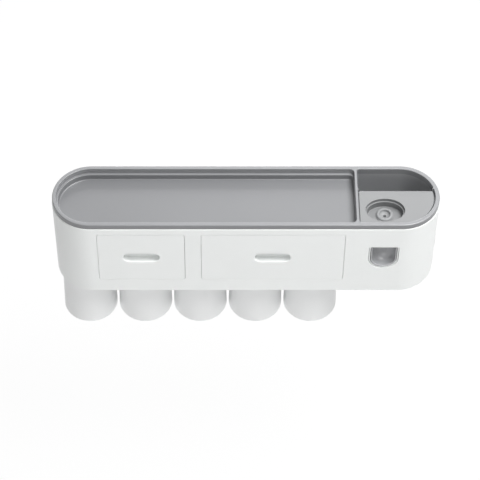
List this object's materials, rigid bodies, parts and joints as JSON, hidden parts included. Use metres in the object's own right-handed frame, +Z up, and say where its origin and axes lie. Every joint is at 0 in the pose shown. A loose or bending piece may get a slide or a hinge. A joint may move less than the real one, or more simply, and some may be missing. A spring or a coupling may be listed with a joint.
{
  "type": "wall toothbrush holder",
  "caption": "Long white wall holder with round ends: grey tray on top, drawers and a toothpaste dispenser in its front, and cups hanging mouth down beneath.",
  "frame": {"origin": "centre of the adhesive pad's back face, which lies on the wall", "axes": "+X along the body towards the toothpaste dispenser, +Y into the wall, +Z up"},
  "size_m": [0.421, 0.0889, 0.189],
  "materials": {
    "shell_white": "moulded, semi-gloss",
    "drawer_white": "moulded, semi-gloss",
    "bezel_white": "moulded, semi-gloss",
    "cup_white": "moulded, semi-gloss",
    "inner_white": "moulded, unpolished",
    "plate_white": "moulded, unpolished",
    "tray_grey": "moulded, satin",
    "deck_grey": "moulded, satin",
    "paddle_grey": "moulded, polished scoop",
    "soft_grey": "soft moulded, matte",
    "foam_pad": "adhesive foam",
    "nickel": "nickel plated magnet",
    "steel": "stamped, zinc plated",
    "spring_steel": "drawn wire",
    "screw_steel": "zinc plated"
  },
  "bodies": {
    "wall_mount": {"wall_plate": "plate_white", "adhesive_pad": "foam_pad"},
    "holder": {"body_shell": "shell_white", "top_tray": "tray_grey", "base_plate": "inner_white", "brush_comb": "inner_white", "magnet_1": "nickel", "magnet_2": "nickel", "magnet_3": "nickel", "magnet_4": "nickel", "magnet_5": "nickel", "dispenser_deck": "deck_grey", "tube_socket": "soft_grey", "pump_housing": "inner_white", "barrel_cap": "inner_white", "outlet_valve": "soft_grey", "window_bezel": "bezel_white", "return_spring": "spring_steel", "base_screw_1": "screw_steel", "base_screw_2": "screw_steel", "base_screw_3": "screw_steel", "base_screw_4": "screw_steel", "base_screw_5": "screw_steel", "comb_screw_1": "screw_steel", "comb_screw_2": "screw_steel", "dispenser_screw_1": "screw_steel", "dispenser_screw_2": "screw_steel"},
    "small_drawer": {"small_drawer": "drawer_white"},
    "large_drawer": {"large_drawer": "drawer_white"},
    "hung_cup_1": {"cup_1": "cup_white", "cup_disc_1": "steel"},
    "hung_cup_2": {"cup_2": "cup_white", "cup_disc_2": "steel"},
    "hung_cup_3": {"cup_3": "cup_white", "cup_disc_3": "steel"},
    "hung_cup_4": {"cup_4": "cup_white", "cup_disc_4": "steel"},
    "hung_cup_5": {"cup_5": "cup_white", "cup_disc_5": "steel"},
    "paddle": {"push_paddle": "paddle_grey", "pump_plunger": "inner_white", "piston_seal": "soft_grey"}
  },
  "joints": [
    {"name": "holder_lift", "type": "slide", "parent": "wall_mount", "child": "holder", "axis": [0, 0, 1], "range_m": [0, 0.009]},
    {"name": "small_drawer_slide", "type": "slide", "parent": "holder", "child": "small_drawer", "axis": [0, -1, 0], "range_m": [0, 0.055]},
    {"name": "large_drawer_slide", "type": "slide", "parent": "holder", "child": "large_drawer", "axis": [0, -1, 0], "range_m": [0, 0.055]},
    {"name": "cup_1_pull", "type": "slide", "parent": "holder", "child": "hung_cup_1", "axis": [0, 0, -1], "range_m": [0, 0.095]},
    {"name": "cup_2_pull", "type": "slide", "parent": "holder", "child": "hung_cup_2", "axis": [0, 0, -1], "range_m": [0, 0.095]},
    {"name": "cup_3_pull", "type": "slide", "parent": "holder", "child": "hung_cup_3", "axis": [0, 0, -1], "range_m": [0, 0.095]},
    {"name": "cup_4_pull", "type": "slide", "parent": "holder", "child": "hung_cup_4", "axis": [0, 0, -1], "range_m": [0, 0.095]},
    {"name": "cup_5_pull", "type": "slide", "parent": "holder", "child": "hung_cup_5", "axis": [0, 0, -1], "range_m": [0, 0.095]},
    {"name": "paddle_push", "type": "slide", "parent": "holder", "child": "paddle", "axis": [0, 1, 0], "range_m": [0, 0.007], "stiffness_N_per_m": 400, "deforming": ["return_spring"]}
  ]
}
